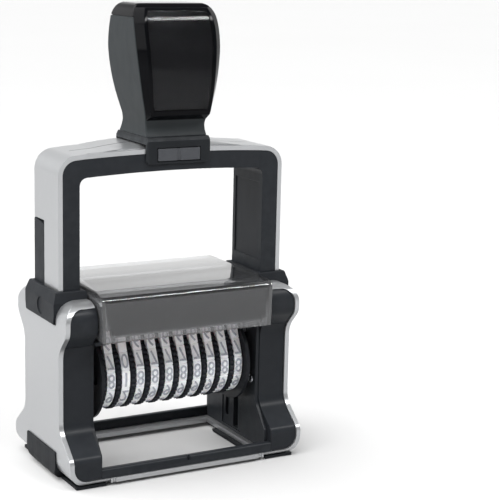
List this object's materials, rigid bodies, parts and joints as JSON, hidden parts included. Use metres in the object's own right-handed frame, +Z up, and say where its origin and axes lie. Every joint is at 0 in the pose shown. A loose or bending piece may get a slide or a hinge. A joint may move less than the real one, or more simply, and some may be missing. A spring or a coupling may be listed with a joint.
{
  "type": "self-inking band numbering stamp",
  "caption": "Hand numbering stamp with a spring-loaded stirrup and knob, a number unit on rubber bands that flips from ink pad to paper, and a smoke grey pad cover.",
  "frame": {"origin": "middle of the footprint on the plane the feet stand on, which is also the paper", "axes": "+Z up along the stroke, X along the row of number bands, the front with the pad cover's face towards -Y"},
  "size_m": [0.0822, 0.0466, 0.1457],
  "materials": {
    "silver_skin": "satin silver",
    "black_frame": "fine grained black",
    "foot_black": "matt",
    "spring_steel": "drawn wire",
    "smoke_cover": "smoke grey clear plastic",
    "tray_black": "moulded",
    "ink_felt": "ink soaked felt",
    "stirrup_black": "fine grained black",
    "grip_soft": "soft touch grey black",
    "gloss_black": "polished",
    "card_dark": "plain card",
    "unit_black": "moulded",
    "bright_steel": "turned",
    "band_rubber": "pale rubber",
    "wheel_black": "moulded"
  },
  "bodies": {
    "housing": {"left_shell": "silver_skin", "right_shell": "silver_skin", "front_sill": "silver_skin", "rear_sill": "silver_skin", "left_frame": "black_frame", "right_frame": "black_frame", "left_shoulders": "black_frame", "right_shoulders": "black_frame", "front_bar": "black_frame", "rear_bar": "black_frame", "left_cheek": "black_frame", "right_cheek": "black_frame", "left_collar": "black_frame", "right_collar": "black_frame", "left_foot": "foot_black", "right_foot": "foot_black", "left_pad_rail": "black_frame", "right_pad_rail": "black_frame", "return_springs": "spring_steel"},
    "pad_cartridge": {"pad_cover": "smoke_cover", "pad_tray": "tray_black", "ink_felt": "ink_felt"},
    "stirrup": {"stirrup_core": "stirrup_black", "stirrup_skin": "silver_skin", "left_leg_strip": "stirrup_black", "right_leg_strip": "stirrup_black", "saddle": "stirrup_black", "grip_body": "grip_soft", "grip_front": "gloss_black", "label_card": "card_dark", "label_window": "gloss_black"},
    "lock_slider": {"lock_button": "grip_soft"},
    "number_unit": {"left_end_plate": "unit_black", "right_end_plate": "unit_black", "trunnions": "bright_steel", "cam_pins": "bright_steel", "wheel_axle": "bright_steel", "print_bridge": "unit_black", "detent_comb": "bright_steel", "band_1": "band_rubber", "band_2": "band_rubber", "band_3": "band_rubber", "band_4": "band_rubber", "band_5": "band_rubber", "band_6": "band_rubber", "band_7": "band_rubber", "band_8": "band_rubber", "band_9": "band_rubber", "band_10": "band_rubber"},
    "setting_wheel_1": {"wheel_1": "wheel_black"},
    "setting_wheel_2": {"wheel_2": "wheel_black"},
    "setting_wheel_3": {"wheel_3": "wheel_black"},
    "setting_wheel_4": {"wheel_4": "wheel_black"},
    "setting_wheel_5": {"wheel_5": "wheel_black"},
    "setting_wheel_6": {"wheel_6": "wheel_black"},
    "setting_wheel_7": {"wheel_7": "wheel_black"},
    "setting_wheel_8": {"wheel_8": "wheel_black"},
    "setting_wheel_9": {"wheel_9": "wheel_black"},
    "setting_wheel_10": {"wheel_10": "wheel_black"}
  },
  "joints": [
    {"name": "stirrup_slide", "type": "slide", "parent": "housing", "child": "stirrup", "axis": [0, 0, -1], "range_m": [0, 0.032], "stiffness_N_per_m": 400, "springref_m": -0.02, "deforming": ["return_springs"]},
    {"name": "unit_flip", "type": "hinge", "parent": "stirrup", "child": "number_unit", "pos_m": [0, 0, 0.04], "axis": [-1, 0, 0], "range_deg": [0, 180]},
    {"name": "lock_press", "type": "slide", "parent": "stirrup", "child": "lock_slider", "axis": [0, 1, 0], "range_m": [0, 0.0018], "stiffness_N_per_m": 300, "springref_m": -0.001},
    {"name": "pad_pull", "type": "slide", "parent": "housing", "child": "pad_cartridge", "axis": [0, -1, 0], "range_m": [0, 0.045]},
    {"name": "wheel_1_turn", "type": "hinge", "parent": "number_unit", "child": "setting_wheel_1", "pos_m": [-0.0225, 0, 0.0296], "axis": [1, 0, 0], "continuous": true},
    {"name": "wheel_2_turn", "type": "hinge", "parent": "number_unit", "child": "setting_wheel_2", "pos_m": [-0.0175, 0, 0.0296], "axis": [1, 0, 0], "continuous": true},
    {"name": "wheel_3_turn", "type": "hinge", "parent": "number_unit", "child": "setting_wheel_3", "pos_m": [-0.0125, 0, 0.0296], "axis": [1, 0, 0], "continuous": true},
    {"name": "wheel_4_turn", "type": "hinge", "parent": "number_unit", "child": "setting_wheel_4", "pos_m": [-0.0075, 0, 0.0296], "axis": [1, 0, 0], "continuous": true},
    {"name": "wheel_5_turn", "type": "hinge", "parent": "number_unit", "child": "setting_wheel_5", "pos_m": [-0.0025, 0, 0.0296], "axis": [1, 0, 0], "continuous": true},
    {"name": "wheel_6_turn", "type": "hinge", "parent": "number_unit", "child": "setting_wheel_6", "pos_m": [0.0025, 0, 0.0296], "axis": [1, 0, 0], "continuous": true},
    {"name": "wheel_7_turn", "type": "hinge", "parent": "number_unit", "child": "setting_wheel_7", "pos_m": [0.0075, 0, 0.0296], "axis": [1, 0, 0], "continuous": true},
    {"name": "wheel_8_turn", "type": "hinge", "parent": "number_unit", "child": "setting_wheel_8", "pos_m": [0.0125, 0, 0.0296], "axis": [1, 0, 0], "continuous": true},
    {"name": "wheel_9_turn", "type": "hinge", "parent": "number_unit", "child": "setting_wheel_9", "pos_m": [0.0175, 0, 0.0296], "axis": [1, 0, 0], "continuous": true},
    {"name": "wheel_10_turn", "type": "hinge", "parent": "number_unit", "child": "setting_wheel_10", "pos_m": [0.0225, 0, 0.0296], "axis": [1, 0, 0], "continuous": true}
  ],
  "couplings": [
    {"joint": "unit_flip", "follows": "stirrup_slide", "rad_per_m": 98.174}
  ]
}
